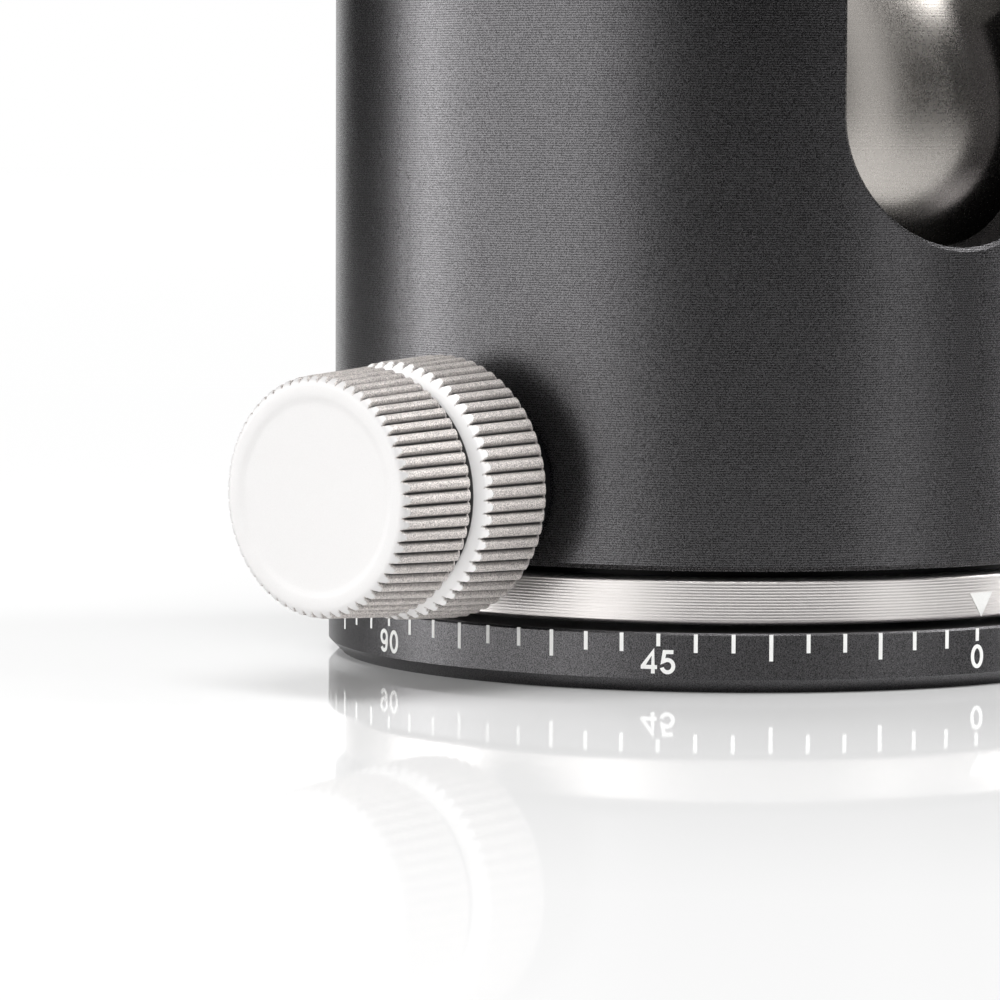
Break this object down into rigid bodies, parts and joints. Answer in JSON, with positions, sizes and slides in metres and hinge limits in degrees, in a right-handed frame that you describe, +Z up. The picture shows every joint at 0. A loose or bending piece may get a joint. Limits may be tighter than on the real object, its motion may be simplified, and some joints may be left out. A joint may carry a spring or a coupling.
{
  "type": "tripod ball head",
  "caption": "Ball head with a panning graduated base, drop notches, knurled locks and a dovetail clamp that aims a camera.",
  "frame": {"origin": "mouth of the tripod socket, at the middle of the base's underside", "axes": "+Z up along the panning axis, -Y towards the front drop notch, +X towards the ball lock knob and the moving jaw"},
  "size_m": [0.0957, 0.061, 0.0892],
  "materials": {
    "base_black": "satin black anodised, white marks",
    "housing_black": "satin black anodised, turned",
    "clamp_black": "satin black anodised",
    "ring_silver": "clear anodised, fine turned grooves",
    "knob_silver": "bead blasted, clear anodised",
    "ball_silver": "satin warm silver, hard anodised",
    "dial_black": "satin black anodised",
    "bearing_alloy": "machined",
    "steel": "machined",
    "bolt_black": "black oxide",
    "brass_part": "machined",
    "bearing_plastic": "smooth, slippery",
    "race_plastic": "smooth",
    "cup_plastic": "smooth",
    "rubber_black": "matt",
    "mark_white": "white printed marks",
    "vial_clear": "clear, green liquid"
  },
  "bodies": {
    "base": {"graduated_base": "base_black", "tripod_socket": "steel", "pan_spindle": "bearing_alloy", "base_screws": "steel", "lower_thrust_washer": "bearing_plastic"},
    "housing": {"housing_shell": "housing_black", "index_ring": "ring_silver", "upper_race": "race_plastic", "cup_spring": "steel", "upper_thrust_washer": "bearing_plastic", "pan_bush": "bolt_black", "lock_bush": "bolt_black"},
    "pan_shoe": {"pan_lock_shoe": "brass_part"},
    "pan_knob_body": {"pan_knob": "knob_silver", "pan_lock_screw": "steel"},
    "piston": {"lock_piston": "steel"},
    "lock_knob_body": {"lock_knob": "knob_silver", "lock_screw": "steel"},
    "dial": {"friction_dial": "dial_black", "friction_screw": "steel"},
    "cup": {"ball_cup": "cup_plastic"},
    "tilt_ring": {"stem_ring": "rubber_black"},
    "ball_and_clamp": {"ball": "ball_silver", "clamp_body": "clamp_black", "grip_pads": "rubber_black", "level_vial": "vial_clear", "clamp_bolt": "bolt_black", "clamp_dowels": "steel", "guide_pins": "steel"},
    "jaw": {"moving_jaw": "clamp_black"},
    "clamp_knob_body": {"clamp_knob": "knob_silver", "clamp_screw": "steel", "clamp_washer": "bearing_plastic"}
  },
  "joints": [
    {"name": "pan", "type": "hinge", "parent": "base", "child": "housing", "pos_m": [0, 0, 0.0043], "axis": [0, 0, 1], "continuous": true},
    {"name": "pan_shoe_slide", "type": "slide", "parent": "housing", "child": "pan_shoe", "axis": [-0.9455, -0.3256, 0], "range_m": [0, 0.00065]},
    {"name": "pan_knob_turn", "type": "hinge", "parent": "pan_shoe", "child": "pan_knob_body", "pos_m": [0, 0, 0.0143], "axis": [-0.9455, -0.3256, 0], "range_deg": [0, 180]},
    {"name": "lock_piston_slide", "type": "slide", "parent": "housing", "child": "piston", "axis": [1, 0, 0], "range_m": [0, 0.0008]},
    {"name": "lock_knob_turn", "type": "hinge", "parent": "piston", "child": "lock_knob_body", "pos_m": [0, 0, 0.0201], "axis": [1, 0, 0], "range_deg": [0, 180]},
    {"name": "friction_dial_turn", "type": "hinge", "parent": "lock_knob_body", "child": "dial", "pos_m": [0, 0, 0.0201], "axis": [1, 0, 0], "range_deg": [0, 270]},
    {"name": "ball_swivel", "type": "hinge", "parent": "housing", "child": "cup", "pos_m": [0, 0, 0.0407], "axis": [0, 0, 1], "continuous": true},
    {"name": "ball_tilt", "type": "hinge", "parent": "cup", "child": "tilt_ring", "pos_m": [0, 0, 0.0407], "axis": [1, 0, 0], "range_deg": [-40, 90]},
    {"name": "ball_spin", "type": "hinge", "parent": "tilt_ring", "child": "ball_and_clamp", "pos_m": [0, 0, 0.0407], "axis": [0, 0, 1], "continuous": true},
    {"name": "jaw_slide", "type": "slide", "parent": "ball_and_clamp", "child": "jaw", "axis": [1, 0, 0], "range_m": [0, 0.0065]},
    {"name": "clamp_knob_turn", "type": "hinge", "parent": "jaw", "child": "clamp_knob_body", "pos_m": [0, 0, 0.0784], "axis": [1, 0, 0], "range_deg": [0, 1800]}
  ],
  "couplings": [
    {"joint": "pan_shoe_slide", "follows": "pan_knob_turn", "m_per_rad": 0.00015915},
    {"joint": "lock_piston_slide", "follows": "lock_knob_turn", "m_per_rad": 0.00019894},
    {"joint": "jaw_slide", "follows": "clamp_knob_turn", "m_per_rad": 0.00015915}
  ]
}
